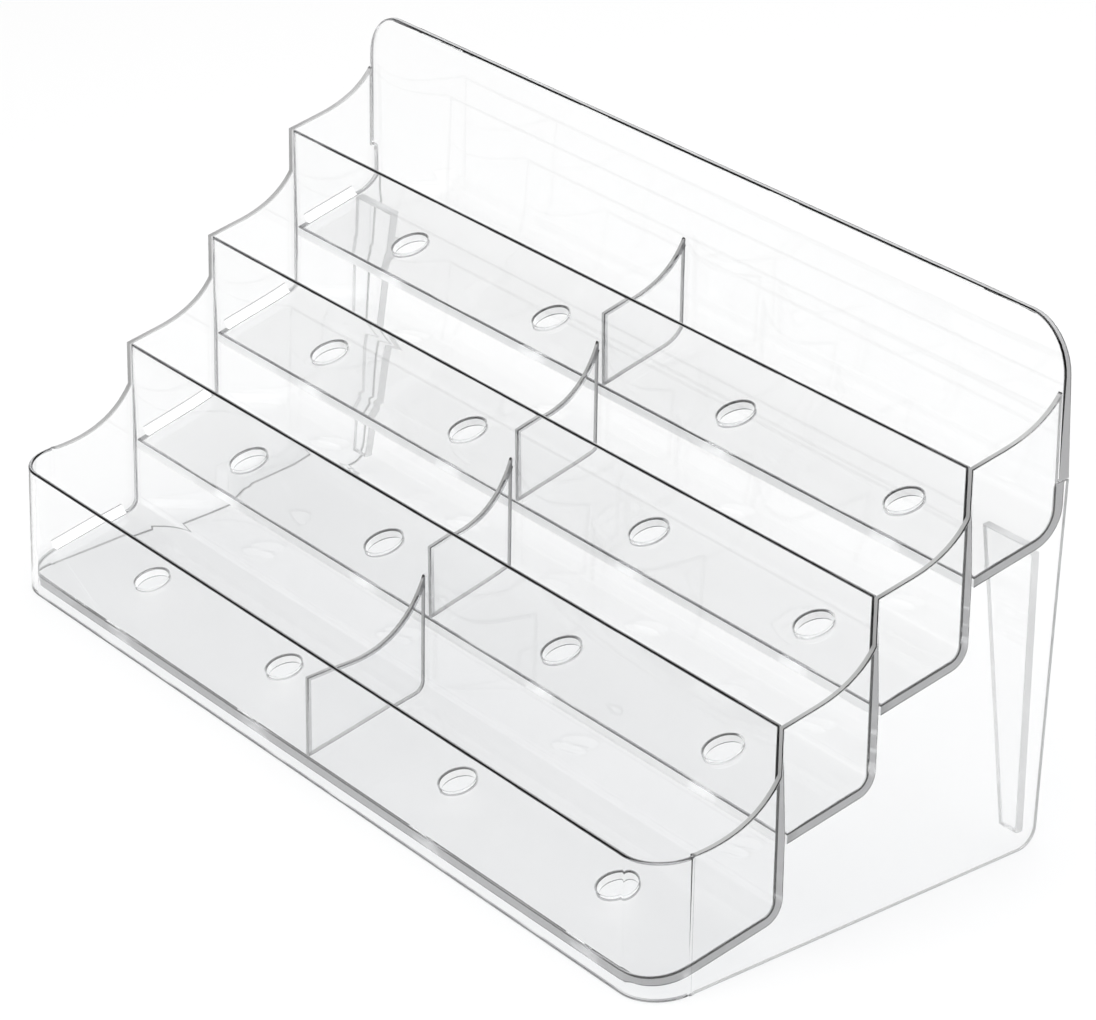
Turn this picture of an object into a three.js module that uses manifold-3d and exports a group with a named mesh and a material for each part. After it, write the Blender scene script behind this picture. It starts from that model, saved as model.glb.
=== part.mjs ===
// A clear four-tier counter holder for small cards: four stepped trays between two side panels, a low
// front wall that wraps round to the side panels, one divider on each tray and two tapered gussets
// under the rear tray. Millimetres; +X is the width, +Y runs back and +Z is up. The holder stands on
// z = 0 with the origin under the centre of its bounding box.
import * as THREE from 'three';
import { mergeVertices } from 'three/addons/utils/BufferGeometryUtils.js';
import Module from 'manifold-3d';

const wasm = await Module();
wasm.setup();

// Overall width and the angles of the profile.
const WIDTH = 200;
const WALL_LEAN = THREE.MathUtils.degToRad(5);
const FLOOR_RISE = THREE.MathUtils.degToRad(10);
const REAR_EDGE_LEAN = THREE.MathUtils.degToRad(7.2);

// Sheet thicknesses. A wall thins evenly from its floor up to its free edge.
const SHEET = 2;
const SIDE_SHEET = 1.2;
const LIP_EDGE = 0.8;
const BACK_SHEET = 2.2;
const BACK_EDGE = 1.2;
const DIVIDER_SHEET = 1.4;
const GUSSET_SHEET = 1.6;

// Room left for the cement between neighbouring pieces.
const JOINT = 0.25;

// The stepped profile, front tier first: lengths along the floors and up the walls.
const FRONT_FLOOR_HEIGHT = 3.5;
const FLOOR_LENGTHS = [26.1, 18.9, 18.9, 19.1];
const LIP_HEIGHTS = [21.4, 20, 20, 20];
const RISER = 12.9;
const BACK_PANEL = 35.6;
const TRAY_BEND = 2.5;
const BACK_BEND = 5;

// Round holes through the floors, two in each pocket.
const HOLE_RADIUS = 3.05;
const HOLE_SPREAD = 22.7;
const HOLE_SETBACKS = [14, 10, 10, 10];

// Front wall and side panels.
const FRONT_CORNER = 8;
const FRONT_RETURN = 0.3;
const SIDE_DROP = 8.3;
const BACK_DROP = 11.4;
const SIDE_LEADS = [0.9, 7, 7, 6.9];
const DIVIDER_LEADS = [8.3, 5.7, 5.7, 5.6];
const SCALLOP_BITE = 0.68;
const SEAT_RISE = 3.5;
const HEEL_RADIUS = 4;
const BACK_CORNER = 9;

// Dividers and gussets.
const DIVIDER_DROP = 5.8;
const DIVIDER_TOP_DROP = 2.3;
const DIVIDER_BACK_DROP = 4.2;
const GUSSET_TOP = 12.2;
const GUSSET_FOOT = 4.35;
const GUSSET_SETBACK = 3.7;
const GUSSET_CLEARANCE = 3;

const ARC_STEPS = 8;
const HOLE_STEPS = 32;
const TIERS = FLOOR_LENGTHS.length;
const REAR = TIERS - 1;

// Profile points are Vector2s: x holds the distance back and y the height.
const point = (back, height) => new THREE.Vector2(back, height);
const UP_WALL = point(Math.sin(WALL_LEAN), Math.cos(WALL_LEAN));
const ALONG_FLOOR = point(Math.cos(FLOOR_RISE), Math.sin(FLOOR_RISE));
const LEVEL = point(1, 0);

const along = (start, direction, distance) => start.clone().addScaledVector(direction, distance);

// Where the line through a along u crosses the line through b along v.
function crossing(a, u, b, v) {
  const reach = b.clone().sub(a).cross(v) / u.cross(v);
  return along(a, u, reach);
}

// The part of a wall's thickness that is left at a height above its floor line.
function wallThickness(heightUp, wallHeight, base, edge) {
  const share = THREE.MathUtils.clamp(heightUp / wallHeight, 0, 1);
  return THREE.MathUtils.lerp(base, edge, share);
}

// Corner points of the profile, one set for each tier: where its floor meets its own lip and the
// wall behind it, and the top of its lip. All lie on the front faces of the walls.
function layOutTiers() {
  const tiers = [];
  let lipFoot = point(FRONT_FLOOR_HEIGHT * Math.tan(WALL_LEAN), FRONT_FLOOR_HEIGHT);
  for (let tier = 0; tier < TIERS; tier++) {
    const floorRear = along(lipFoot, ALONG_FLOOR, FLOOR_LENGTHS[tier]);
    tiers.push({ lipFoot, lipTop: along(lipFoot, UP_WALL, LIP_HEIGHTS[tier]), floorRear });
    lipFoot = along(floorRear, UP_WALL, RISER);
  }
  return tiers;
}

const TIER = layOutTiers();
const BACK_TOP = along(TIER[REAR].floorRear, UP_WALL, BACK_PANEL);
const DEPTH = BACK_TOP.x + BACK_EDGE;
const INNER_HALF = WIDTH / 2 - SIDE_SHEET - JOINT;

// The front wall is of the side panels' sheet. Every other lip is the top of a tray's wall.
const lipSheet = (tier) => (tier === 0 ? SIDE_SHEET : SHEET);

// The top of the wall behind a tier, and how thick that wall is at its floor and at its free edge.
function wallBehind(tier) {
  if (tier === REAR) {
    return { top: BACK_TOP, bend: BACK_BEND, base: BACK_SHEET, edge: BACK_EDGE };
  }
  return { top: TIER[tier + 1].lipTop, bend: TRAY_BEND, base: SHEET, edge: LIP_EDGE };
}

// Points of a round corner of the given radius, from the line arriving along u to the one leaving
// along v.
function roundCorner(corner, u, v, radius) {
  const turn = Math.abs(u.angleTo(v));
  const tangent = radius * Math.tan(turn / 2);
  const start = along(corner, u, -tangent);
  const side = Math.sign(u.cross(v));
  const centre = along(start, point(-u.y, u.x), side * radius);
  const points = [];
  for (let step = 0; step <= ARC_STEPS; step++) {
    points.push(start.clone().rotateAround(centre, (side * turn * step) / ARC_STEPS));
  }
  return points;
}

// A profile drawn in the depth-height plane and carried across the width from one x to another.
function acrossWidth(shape, fromX, toX) {
  const options = { depth: toX - fromX, bevelEnabled: false, curveSegments: ARC_STEPS };
  const geometry = new THREE.ExtrudeGeometry(shape, options);
  const axes = new THREE.Matrix4().makeBasis(
    new THREE.Vector3(0, 1, 0),
    new THREE.Vector3(0, 0, 1),
    new THREE.Vector3(1, 0, 0),
  );
  geometry.applyMatrix4(axes);
  geometry.translate(fromX, 0, 0);
  return geometry;
}

function toSolid(geometry) {
  const bare = geometry.clone();
  bare.deleteAttribute('normal');
  bare.deleteAttribute('uv');
  const merged = mergeVertices(bare, 1e-5);
  const mesh = new wasm.Mesh({
    numProp: 3,
    vertProperties: Float32Array.from(merged.attributes.position.array),
    triVerts: Uint32Array.from(merged.index.array),
  });
  return new wasm.Manifold(mesh);
}

function toGeometry(solid) {
  const mesh = solid.getMesh();
  const geometry = new THREE.BufferGeometry();
  geometry.setAttribute('position', new THREE.BufferAttribute(mesh.vertProperties, 3));
  geometry.setIndex(new THREE.BufferAttribute(mesh.triVerts, 1));
  geometry.computeVertexNormals();
  return geometry;
}

// The L-shaped profile of a tray: the floor, the bend and the wall behind it. The floor's front end
// is parallel to the lip that it is cemented to.
function trayProfile(tier) {
  const { lipFoot, floorRear } = TIER[tier];
  const { top, bend, base, edge } = wallBehind(tier);
  const floorDrop = SHEET / Math.cos(FLOOR_RISE);
  const lipBack = along(lipFoot, LEVEL, lipSheet(tier) + JOINT);
  const under = point(lipFoot.x, lipFoot.y - floorDrop);
  const wallRear = along(floorRear, LEVEL, base);
  const outerCorner = crossing(under, ALONG_FLOOR, wallRear, UP_WALL);
  const straight = tier === REAR ? BACK_BEND + BACK_SHEET : RISER;
  const thinsFrom = along(along(floorRear, UP_WALL, straight), LEVEL, base);
  const thinsTo = along(top, LEVEL, edge);
  return [
    crossing(lipFoot, ALONG_FLOOR, lipBack, UP_WALL),
    crossing(under, ALONG_FLOOR, lipBack, UP_WALL),
    ...roundCorner(outerCorner, ALONG_FLOOR, UP_WALL, bend + base),
    thinsFrom,
    thinsTo,
    top,
    ...roundCorner(floorRear, UP_WALL.clone().negate(), ALONG_FLOOR.clone().negate(), bend),
  ];
}

// Cutters for the two holes of each pocket, square to the floor.
function holeCutters(tier) {
  const spot = along(TIER[tier].lipFoot, ALONG_FLOOR, HOLE_SETBACKS[tier]);
  const cutters = [];
  for (const pocket of [-WIDTH / 4, WIDTH / 4]) {
    for (const offset of [-HOLE_SPREAD, HOLE_SPREAD]) {
      const cutter = new THREE.CylinderGeometry(HOLE_RADIUS, HOLE_RADIUS, 4 * SHEET, HOLE_STEPS);
      cutter.rotateX(Math.PI / 2 + FLOOR_RISE);
      cutter.translate(pocket + offset, spot.x, spot.y);
      cutters.push(cutter);
    }
  }
  return cutters;
}

// The same shape on the other side of the middle plane, with its faces still pointing out.
function mirrored(geometry) {
  const copy = geometry.index ? geometry.toNonIndexed() : geometry.clone();
  const from = copy.attributes.position.clone();
  const order = [0, 2, 1];
  for (let index = 0; index < from.count; index++) {
    const source = index - (index % 3) + order[index % 3];
    copy.attributes.position.setXYZ(index, -from.getX(source), from.getY(source), from.getZ(source));
  }
  copy.computeVertexNormals();
  return copy;
}

// What is cut away outside a quarter round of the given radius, in the +X +Y quarter of a plan, and
// of the given depth along Z. The centre of the round is at the origin.
function cornerCutter(radius, depth) {
  const over = 2 * radius;
  const shape = new THREE.Shape();
  shape.moveTo(radius, 0);
  shape.absarc(0, 0, radius, 0, Math.PI / 2, false);
  shape.lineTo(0, over);
  shape.lineTo(over, over);
  shape.lineTo(over, 0);
  const options = { depth, bevelEnabled: false, curveSegments: ARC_STEPS };
  return new THREE.ExtrudeGeometry(shape, options);
}

// The rounded top corners of the back panel, cut straight through from front to back.
function backCornerCutters() {
  const cutter = cornerCutter(BACK_CORNER, 2 * DEPTH);
  cutter.rotateX(Math.PI / 2);
  cutter.translate(WIDTH / 2 - BACK_CORNER, 2 * DEPTH, BACK_TOP.y - BACK_CORNER);
  return [cutter, mirrored(cutter)];
}

// The rounded front corners of the lowest floor, which sits inside the wrapped front wall.
function floorCornerCutters() {
  const radius = FRONT_CORNER - SIDE_SHEET - JOINT;
  const lipBack = along(TIER[0].lipFoot, LEVEL, SIDE_SHEET + JOINT);
  const front = crossing(TIER[0].lipFoot, ALONG_FLOOR, lipBack, UP_WALL);
  const cutter = cornerCutter(radius, 4 * FRONT_FLOOR_HEIGHT);
  cutter.rotateZ(-Math.PI / 2);
  cutter.translate(INNER_HALF - radius, front.x + radius, -FRONT_FLOOR_HEIGHT);
  return [cutter, mirrored(cutter)];
}

function makeTray(tier) {
  const bent = new THREE.Shape(trayProfile(tier));
  let solid = toSolid(acrossWidth(bent, -INNER_HALF, INNER_HALF));
  const cutters = holeCutters(tier);
  if (tier === REAR) {
    const panel = new THREE.Shape(backPanelProfile());
    solid = solid.add(toSolid(acrossWidth(panel, -WIDTH / 2, WIDTH / 2)));
    cutters.push(...backCornerCutters());
  }
  if (tier === 0) {
    cutters.push(...floorCornerCutters());
  }
  for (const cutter of cutters) {
    solid = solid.subtract(toSolid(cutter));
  }
  return toGeometry(solid);
}

// Where the full-width part of the back panel starts, on its front face.
const SEAT = along(TIER[REAR].floorRear, UP_WALL, BACK_BEND + SEAT_RISE);

// The back panel above its seat, where it spans the full width over the side panels' rear strips.
function backPanelProfile() {
  const straight = along(TIER[REAR].floorRear, UP_WALL, BACK_BEND + BACK_SHEET);
  const thinsFrom = along(straight, LEVEL, BACK_SHEET);
  const thinsTo = along(BACK_TOP, LEVEL, BACK_EDGE);
  const seatRear = crossing(SEAT, LEVEL, thinsFrom, thinsTo.clone().sub(thinsFrom));
  return [SEAT, seatRear, thinsTo, BACK_TOP];
}

// The curved top of a side panel or divider. It leads off from start in a straight line, level on the
// front tier and along the floor's rise on the others, then sweeps up to the end on the wall behind.
function scallop(tier, start, end, lead) {
  const direction = tier === 0 ? LEVEL : ALONG_FLOOR;
  const curveStart = along(start, direction, lead / direction.x);
  const reach = (SCALLOP_BITE * (end.x - curveStart.x)) / direction.x;
  return { curveStart, control: along(curveStart, direction, reach) };
}

function addScallop(shape, tier, start, end, lead) {
  const { curveStart, control } = scallop(tier, start, end, lead);
  shape.lineTo(curveStart.x, curveStart.y);
  shape.quadraticCurveTo(control.x, control.y, end.x, end.y);
}

// The stepped outline of a side panel, from the foot of its front edge over the scallops to the heel.
function sidePanelShape() {
  const frontFoot = point(FRONT_CORNER + FRONT_RETURN + JOINT, 0);
  const frontTop = crossing(frontFoot, UP_WALL, TIER[0].lipTop, LEVEL);
  const shape = new THREE.Shape();
  shape.moveTo(frontFoot.x, frontFoot.y);
  shape.lineTo(frontTop.x, frontTop.y);
  for (let tier = 0; tier < REAR; tier++) {
    const start = tier === 0 ? frontTop : TIER[tier].lipTop;
    const next = TIER[tier + 1].lipTop;
    addScallop(shape, tier, start, along(next, UP_WALL, -SIDE_DROP), SIDE_LEADS[tier]);
    shape.lineTo(next.x, next.y);
  }
  const backFace = along(BACK_TOP, LEVEL, -JOINT);
  const end = along(backFace, UP_WALL, -BACK_DROP);
  addScallop(shape, REAR, TIER[REAR].lipTop, end, SIDE_LEADS[REAR]);
  const seatFront = crossing(backFace, UP_WALL, point(0, SEAT.y - JOINT), LEVEL);
  const seatRear = point(SEAT.x + BACK_SHEET, SEAT.y - JOINT);
  shape.lineTo(seatFront.x, seatFront.y);
  shape.lineTo(seatRear.x, seatRear.y);
  const heelLine = point(-Math.sin(REAR_EDGE_LEAN), -Math.cos(REAR_EDGE_LEAN));
  const heel = crossing(seatRear, heelLine, point(0, 0), LEVEL);
  for (const corner of roundCorner(heel, heelLine, LEVEL.clone().negate(), HEEL_RADIUS)) {
    shape.lineTo(corner.x, corner.y);
  }
  return { shape, heel };
}

function makeSidePanel() {
  return acrossWidth(sidePanelShape().shape, WIDTH / 2 - SIDE_SHEET, WIDTH / 2);
}

// A divider stands on its floor between its lip and the wall behind, clear of both by the joint.
function makeDivider(tier) {
  const { lipFoot, lipTop, floorRear } = TIER[tier];
  const { top, bend } = wallBehind(tier);
  const wallHeight = LIP_HEIGHTS[tier];
  const lipAt = (heightUp) => {
    const thickness = wallThickness(heightUp, wallHeight, lipSheet(tier), LIP_EDGE);
    return along(along(lipFoot, UP_WALL, heightUp), LEVEL, thickness + JOINT);
  };
  const floorStart = point(lipFoot.x, lipFoot.y + JOINT / Math.cos(FLOOR_RISE));
  const wallFace = along(floorRear, LEVEL, -JOINT);
  const frontTop = lipAt(wallHeight - DIVIDER_DROP);
  const frontFoot = crossing(floorStart, ALONG_FLOOR, lipAt(0), frontTop.clone().sub(lipAt(0)));
  const rearCorner = crossing(floorStart, ALONG_FLOOR, wallFace, UP_WALL);
  const drop = tier === REAR ? BACK_DROP + DIVIDER_BACK_DROP : SIDE_DROP + DIVIDER_TOP_DROP;
  const end = along(along(top, LEVEL, -JOINT), UP_WALL, -drop);
  const shape = new THREE.Shape();
  shape.moveTo(frontFoot.x, frontFoot.y);
  for (const corner of roundCorner(rearCorner, ALONG_FLOOR, UP_WALL, bend)) {
    shape.lineTo(corner.x, corner.y);
  }
  shape.lineTo(end.x, end.y);
  const { curveStart, control } = scallop(tier, frontTop, end, DIVIDER_LEADS[tier]);
  shape.quadraticCurveTo(control.x, control.y, curveStart.x, curveStart.y);
  shape.lineTo(frontTop.x, frontTop.y);
  return acrossWidth(shape, -DIVIDER_SHEET / 2, DIVIDER_SHEET / 2);
}

// Plan outline of the front wall at one height: round the outside from left to right, and back
// round the inside, set in by the wall's thickness there.
function frontWallRing(height, thickness) {
  const half = WIDTH / 2;
  const lean = height * Math.tan(WALL_LEAN);
  const ring = [];
  const sweep = (radius, reach) => {
    const side = [point(-reach, FRONT_CORNER + FRONT_RETURN)];
    for (let step = 0; step <= ARC_STEPS; step++) {
      const turn = (Math.PI / 2) * (step / ARC_STEPS);
      const x = -(half - FRONT_CORNER) - radius * Math.cos(turn);
      side.push(point(x, FRONT_CORNER - radius * Math.sin(turn)));
    }
    const mirrored = side.map((corner) => point(-corner.x, corner.y)).reverse();
    return [...side, ...mirrored];
  };
  ring.push(...sweep(FRONT_CORNER, half));
  ring.push(...sweep(FRONT_CORNER - thickness, half - thickness).reverse());
  return ring.map((corner) => new THREE.Vector3(corner.x, corner.y + lean, height));
}

// A closed body between a lower and an upper ring with the same number of points.
function loftBetween(lower, upper) {
  const count = lower.length;
  const positions = [];
  for (const corner of [...lower, ...upper]) {
    positions.push(corner.x, corner.y, corner.z);
  }
  const flat = lower.map((corner) => point(corner.x, corner.y));
  const faces = THREE.ShapeUtils.triangulateShape(flat, []);
  const indices = [];
  for (const [a, b, c] of faces) {
    indices.push(a, c, b);
    indices.push(a + count, b + count, c + count);
  }
  for (let here = 0; here < count; here++) {
    const next = (here + 1) % count;
    indices.push(here, next, next + count);
    indices.push(here, next + count, here + count);
  }
  const geometry = new THREE.BufferGeometry();
  geometry.setAttribute('position', new THREE.Float32BufferAttribute(positions, 3));
  geometry.setIndex(indices);
  geometry.computeVertexNormals();
  return geometry;
}

function makeFrontWall() {
  const foot = frontWallRing(0, SIDE_SHEET);
  const bend = frontWallRing(FRONT_FLOOR_HEIGHT, SIDE_SHEET);
  const top = frontWallRing(TIER[0].lipTop.y, LIP_EDGE);
  const base = toSolid(loftBetween(foot, bend));
  return toGeometry(base.add(toSolid(loftBetween(bend, top))));
}

// The right-hand gusset under the rear tray: wide at the floor above and narrow at its foot.
function makeGusset() {
  const foot = point(sidePanelShape().heel.x - GUSSET_SETBACK, 0);
  const { lipFoot } = TIER[REAR];
  const underside = point(lipFoot.x, lipFoot.y - SHEET / Math.cos(FLOOR_RISE));
  const top = crossing(foot, UP_WALL, underside, ALONG_FLOOR).y - JOINT;
  const shape = new THREE.Shape();
  shape.moveTo(INNER_HALF, GUSSET_CLEARANCE);
  shape.lineTo(INNER_HALF, top);
  shape.lineTo(INNER_HALF - GUSSET_TOP, top);
  shape.lineTo(INNER_HALF - GUSSET_FOOT, GUSSET_CLEARANCE);
  const geometry = new THREE.ExtrudeGeometry(shape, { depth: GUSSET_SHEET, bevelEnabled: false });
  geometry.rotateX(Math.PI / 2);
  geometry.applyMatrix4(new THREE.Matrix4().makeShear(0, 0, 0, 0, 0, Math.tan(WALL_LEAN)));
  geometry.translate(0, foot.x + GUSSET_SHEET, 0);
  return geometry;
}

const clear = (tint) => new THREE.MeshStandardMaterial({
  color: tint,
  roughness: 0.06,
  metalness: 0,
  transparent: true,
  opacity: 0.35,
});

const holder = new THREE.Group();
holder.position.set(0, -DEPTH / 2, 0);

function addPiece(name, geometry, tint) {
  const mesh = new THREE.Mesh(geometry, clear(tint));
  mesh.name = name;
  holder.add(mesh);
}

addPiece('front_lip', makeFrontWall(), 0xf1f5f5);
for (let tier = 0; tier < TIERS; tier++) {
  addPiece(`tray_${tier + 1}`, makeTray(tier), 0xeef2f3);
  addPiece(`divider_${tier + 1}`, makeDivider(tier), 0xf4f7f7);
}
addPiece('side_panel_right', makeSidePanel(), 0xf1f5f5);
addPiece('side_panel_left', mirrored(makeSidePanel()), 0xf1f5f5);
addPiece('rear_gusset_right', makeGusset(), 0xf4f7f7);
addPiece('rear_gusset_left', mirrored(makeGusset()), 0xf4f7f7);

export default holder;
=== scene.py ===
"""A clear plastic four-tier card holder, dressed for a plain studio picture.

The holder is a flight of four trays between two scalloped side panels. Every piece is a clear sheet
whose free edges are thin and slightly rounded, so each class below works out one kind of sheet as
whole numpy arrays and gives it the clear finish of its material slot.
"""

import logging
import math
from dataclasses import dataclass, field
from enum import Enum
from typing import Callable, Sequence

import bpy
import numpy as np
from mathutils import Matrix, Vector


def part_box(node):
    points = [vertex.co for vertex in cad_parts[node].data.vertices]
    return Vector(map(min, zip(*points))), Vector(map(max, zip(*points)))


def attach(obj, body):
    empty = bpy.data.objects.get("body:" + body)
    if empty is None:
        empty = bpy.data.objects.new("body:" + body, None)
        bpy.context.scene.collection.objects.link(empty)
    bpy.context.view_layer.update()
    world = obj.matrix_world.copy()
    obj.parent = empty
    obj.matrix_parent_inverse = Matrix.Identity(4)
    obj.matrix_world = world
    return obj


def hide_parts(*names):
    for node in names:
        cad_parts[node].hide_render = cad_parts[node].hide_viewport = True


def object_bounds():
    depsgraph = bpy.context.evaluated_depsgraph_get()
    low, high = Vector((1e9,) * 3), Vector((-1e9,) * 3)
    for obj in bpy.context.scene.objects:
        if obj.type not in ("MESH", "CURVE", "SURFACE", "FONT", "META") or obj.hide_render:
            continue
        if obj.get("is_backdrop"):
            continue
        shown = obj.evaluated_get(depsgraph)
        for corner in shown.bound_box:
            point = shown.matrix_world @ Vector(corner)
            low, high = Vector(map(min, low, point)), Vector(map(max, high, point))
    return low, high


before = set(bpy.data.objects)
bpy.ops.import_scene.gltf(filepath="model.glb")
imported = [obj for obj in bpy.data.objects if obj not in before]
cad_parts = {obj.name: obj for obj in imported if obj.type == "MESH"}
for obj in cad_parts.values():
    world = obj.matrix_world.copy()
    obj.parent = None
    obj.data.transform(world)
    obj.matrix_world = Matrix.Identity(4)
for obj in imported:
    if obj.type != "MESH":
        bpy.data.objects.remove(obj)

log = logging.getLogger("card_holder")
MM = 0.001
SHARP = 0.01 * MM  # radius of a rim that is cemented, and half the gap that is left at it

# Marks on faces: a sheet's broad faces, a rim's rounds, which carry painted shade, a flat edge
# painted pale with a painted glow as if it caught the light, and a flat sawn edge. Marks above
# EDGE_ON belong to flat edges, and MARK_SPAN tells two marks apart.
BROAD, ROUND, PAINTED_LIT, SAWN = 0.0, 0.5, 0.8, 1.0
EDGE_ON = 0.7
MARK_SPAN = 0.04


class Side(Enum):
    """The two ends of the holder."""

    LEFT = -1
    RIGHT = 1


# --------------------------------------------------------------------------------------------------
# The stepped profile that every piece is cut to
# --------------------------------------------------------------------------------------------------


def unit(angle: float) -> np.ndarray:
    """Return the unit vector at an angle above the level line, as (back, up)."""
    return np.array([math.cos(angle), math.sin(angle)])


def cross2(a: np.ndarray, b: np.ndarray) -> float:
    """Return the turn from a to b as the area of the parallelogram that they span."""
    return float(a[0] * b[1] - a[1] * b[0])


def crossing(a: np.ndarray, u: np.ndarray, b: np.ndarray, v: np.ndarray) -> np.ndarray:
    """Find where the line through a along u meets the line through b along v.

    Args:
        a: A point on the first line.
        u: The first line's direction.
        b: A point on the second line.
        v: The second line's direction.

    Returns:
        The shared point.
    """
    return a + u * cross2(b - a, v) / cross2(u, v)


def round_corner(corner: np.ndarray, u: np.ndarray, v: np.ndarray, radius: float, steps: int) -> np.ndarray:
    """Replace a corner by an arc that touches both of its lines.

    The arc starts one tangent length before the corner, where the tangent length is the radius
    times the tangent of half the turn, and swings about the point one radius to the side.

    Args:
        corner: Where the two lines meet.
        u: Unit direction of the line that arrives.
        v: Unit direction of the line that leaves.
        radius: The arc's radius.
        steps: How many chords the arc has.

    Returns:
        The arc's points, shaped (steps + 1, 2).
    """
    turn = math.atan2(cross2(u, v), float(u @ v))
    start = corner - u * radius * math.tan(abs(turn) / 2)
    side = math.copysign(1.0, turn)
    centre = start + side * radius * np.array([-u[1], u[0]])
    angle = np.linspace(0.0, turn, steps + 1)[:, None]
    spoke = start - centre
    across = np.array([-spoke[1], spoke[0]])
    return centre + spoke * np.cos(angle) + across * np.sin(angle)


@dataclass(frozen=True)
class Tier:
    """Corner points of one tier on the front faces of its walls, as (back, up)."""

    lip_foot: np.ndarray
    lip_top: np.ndarray
    floor_rear: np.ndarray


@dataclass(frozen=True)
class Profile:
    """Driving sizes of the holder, in metres and radians, and the points that follow from them."""

    half_width: float
    front: float
    lean: float = math.radians(5)
    rise: float = math.radians(10)
    rear_lean: float = math.radians(7.2)
    sheet: float = 2 * MM
    side_sheet: float = 1.2 * MM
    lip_edge: float = 0.8 * MM
    back_sheet: float = 2.2 * MM
    back_edge: float = 1.2 * MM
    joint: float = 0.25 * MM
    floor_height: float = 3.5 * MM
    floors: tuple[float, ...] = (26.1 * MM, 18.9 * MM, 18.9 * MM, 19.1 * MM)
    lips: tuple[float, ...] = (21.4 * MM, 20 * MM, 20 * MM, 20 * MM)
    riser: float = 12.9 * MM
    back_panel: float = 35.6 * MM
    tray_bend: float = 2.5 * MM
    back_bend: float = 5 * MM
    front_corner: float = 8 * MM
    front_return: float = 0.3 * MM
    side_drop: float = 8.3 * MM
    back_drop: float = 11.4 * MM
    side_leads: tuple[float, ...] = (0.9 * MM, 7 * MM, 7 * MM, 6.9 * MM)
    divider_leads: tuple[float, ...] = (8.3 * MM, 5.7 * MM, 5.7 * MM, 5.6 * MM)
    scallop_bite: float = 0.68
    seat_rise: float = 3.5 * MM
    level: np.ndarray = field(default_factory=lambda: unit(0.0))

    @property
    def up_wall(self) -> np.ndarray:
        """Direction up a leaning wall."""
        return unit(math.pi / 2 - self.lean)

    @property
    def along_floor(self) -> np.ndarray:
        """Direction back along a rising floor."""
        return unit(self.rise)

    @property
    def rear(self) -> int:
        """Index of the rear tier."""
        return len(self.floors) - 1

    @property
    def inner_half(self) -> float:
        """Half the width between the side panels, less the cement joint."""
        return self.half_width - self.side_sheet - self.joint

    def lip_sheet(self, tier: int) -> float:
        """Thickness of a tier's lip at its floor line."""
        return self.side_sheet if tier == 0 else self.sheet

    @property
    def tiers(self) -> list[Tier]:
        """Corner points of every tier, front tier first."""
        found = []
        foot = np.array([self.front + self.floor_height * math.tan(self.lean), self.floor_height])
        for floor, lip in zip(self.floors, self.lips):
            rear = foot + self.along_floor * floor
            found.append(Tier(foot, foot + self.up_wall * lip, rear))
            foot = rear + self.up_wall * self.riser
        return found

    @property
    def back_top(self) -> np.ndarray:
        """Top of the back panel's front face."""
        return self.tiers[self.rear].floor_rear + self.up_wall * self.back_panel

    @property
    def seat(self) -> np.ndarray:
        """Where the full-width part of the back panel starts, on its front face."""
        return self.tiers[self.rear].floor_rear + self.up_wall * (self.back_bend + self.seat_rise)

    def scallop(self, start: np.ndarray, end: np.ndarray, lead: float, tier: int, steps: int) -> np.ndarray:
        """Work out the top line of a panel from its lip to the wall behind.

        The line leads off from the start, level on the front tier and along the floor's rise on the
        others, and then sweeps up on a quadratic curve whose control point lies on that line.

        Args:
            start: The top of the lip.
            end: Where the sweep ends on the wall behind.
            lead: How far back the straight part goes.
            tier: Which tier it is on.
            steps: How many chords the sweep has.

        Returns:
            The sweep's points from front to back, shaped (steps + 1, 2).
        """
        direction = self.level if tier == 0 else self.along_floor
        first = start + direction * lead / direction[0]
        control = first + direction * self.scallop_bite * (end[0] - first[0]) / direction[0]
        t = np.linspace(0.0, 1.0, steps + 1)[:, None]
        return first * (1 - t) ** 2 + control * 2 * t * (1 - t) + end * t**2


# --------------------------------------------------------------------------------------------------
# Meshes from arrays
# --------------------------------------------------------------------------------------------------


TouchUp = Callable[[np.ndarray, np.ndarray, np.ndarray], None]
FLAT_WEIGHT = 90  # how strongly large faces hold the shading flat
RIM_SHARE = 0.46  # the most of a sheet's thickness that one round takes


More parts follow.
